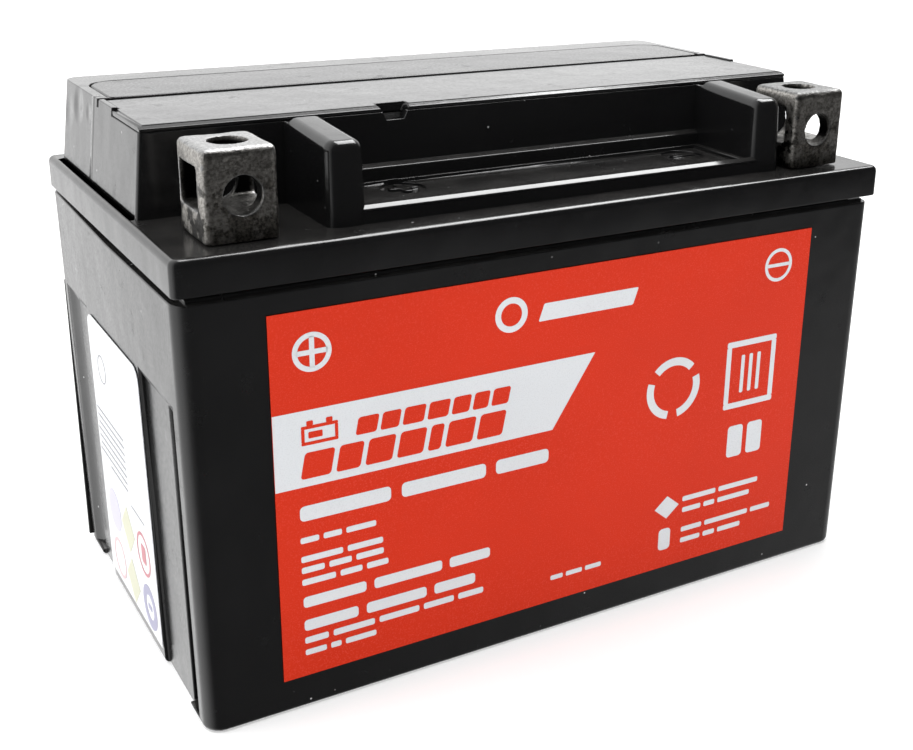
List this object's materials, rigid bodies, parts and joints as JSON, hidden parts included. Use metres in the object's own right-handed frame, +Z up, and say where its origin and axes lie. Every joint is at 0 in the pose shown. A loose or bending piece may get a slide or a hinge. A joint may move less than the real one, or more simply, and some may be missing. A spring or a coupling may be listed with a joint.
{
  "type": "motorcycle battery",
  "caption": "Sealed box-shaped starter battery with a black ribbed case, a stepped lid, box-shaped bolt terminals at the front corners and a red front label.",
  "frame": {"origin": "centre of the underside, on the surface the battery stands on", "axes": "+Z up, +X along the length towards the negative terminal, -Y towards the labelled front"},
  "size_m": [0.15, 0.087, 0.105],
  "materials": {
    "black_polypropylene": "satin moulded polypropylene",
    "cast_lead": "as-cast lead, dull grey, lightly oxidised",
    "black_rubber": "moulded rubber",
    "lead_dioxide_paste": "dark brown porous paste on a lead grid",
    "sponge_lead_paste": "grey porous paste on a lead grid",
    "glass_mat": "white glass-fibre felt",
    "porous_plastic": "sintered porous plastic",
    "red_label_film": "printed film, satin",
    "white_label_film": "printed film, satin"
  },
  "bodies": {
    "battery": {"battery_case": "black_polypropylene", "lid": "black_polypropylene", "vent_cover": "black_polypropylene", "flame_arrestor": "porous_plastic", "positive_terminal": "cast_lead", "negative_terminal": "cast_lead", "positive_terminal_seal": "black_rubber", "negative_terminal_seal": "black_rubber", "front_label": "red_label_film", "end_label": "white_label_film", "positive_plate_group_1": "lead_dioxide_paste", "negative_plate_group_1": "sponge_lead_paste", "separator_1": "glass_mat", "positive_plate_group_2": "lead_dioxide_paste", "negative_plate_group_2": "sponge_lead_paste", "separator_2": "glass_mat", "positive_plate_group_3": "lead_dioxide_paste", "negative_plate_group_3": "sponge_lead_paste", "separator_3": "glass_mat", "positive_plate_group_4": "lead_dioxide_paste", "negative_plate_group_4": "sponge_lead_paste", "separator_4": "glass_mat", "positive_plate_group_5": "lead_dioxide_paste", "negative_plate_group_5": "sponge_lead_paste", "separator_5": "glass_mat", "positive_plate_group_6": "lead_dioxide_paste", "negative_plate_group_6": "sponge_lead_paste", "separator_6": "glass_mat", "partition_weld_1": "cast_lead", "partition_weld_2": "cast_lead", "partition_weld_3": "cast_lead", "partition_weld_4": "cast_lead", "partition_weld_5": "cast_lead"},
    "filler_strip": {"plug_strip": "black_polypropylene", "plug_seal_1": "black_rubber", "plug_seal_2": "black_rubber", "plug_seal_3": "black_rubber", "plug_seal_4": "black_rubber", "plug_seal_5": "black_rubber", "plug_seal_6": "black_rubber"},
    "valve_1": {"valve_cap_1": "black_rubber"},
    "valve_2": {"valve_cap_2": "black_rubber"},
    "valve_3": {"valve_cap_3": "black_rubber"},
    "valve_4": {"valve_cap_4": "black_rubber"},
    "valve_5": {"valve_cap_5": "black_rubber"},
    "valve_6": {"valve_cap_6": "black_rubber"}
  },
  "joints": [
    {"name": "plug_strip_lift", "type": "slide", "parent": "battery", "child": "filler_strip", "axis": [0, 0, 1], "range_m": [0, 0.015]},
    {"name": "valve_1_lift", "type": "slide", "parent": "battery", "child": "valve_1", "axis": [0, 0, 1], "range_m": [0, 0.0006], "stiffness_N_per_m": 100, "springref_m": -0.002},
    {"name": "valve_2_lift", "type": "slide", "parent": "battery", "child": "valve_2", "axis": [0, 0, 1], "range_m": [0, 0.0006], "stiffness_N_per_m": 100, "springref_m": -0.002},
    {"name": "valve_3_lift", "type": "slide", "parent": "battery", "child": "valve_3", "axis": [0, 0, 1], "range_m": [0, 0.0006], "stiffness_N_per_m": 100, "springref_m": -0.002},
    {"name": "valve_4_lift", "type": "slide", "parent": "battery", "child": "valve_4", "axis": [0, 0, 1], "range_m": [0, 0.0006], "stiffness_N_per_m": 100, "springref_m": -0.002},
    {"name": "valve_5_lift", "type": "slide", "parent": "battery", "child": "valve_5", "axis": [0, 0, 1], "range_m": [0, 0.0006], "stiffness_N_per_m": 100, "springref_m": -0.002},
    {"name": "valve_6_lift", "type": "slide", "parent": "battery", "child": "valve_6", "axis": [0, 0, 1], "range_m": [0, 0.0006], "stiffness_N_per_m": 100, "springref_m": -0.002}
  ]
}
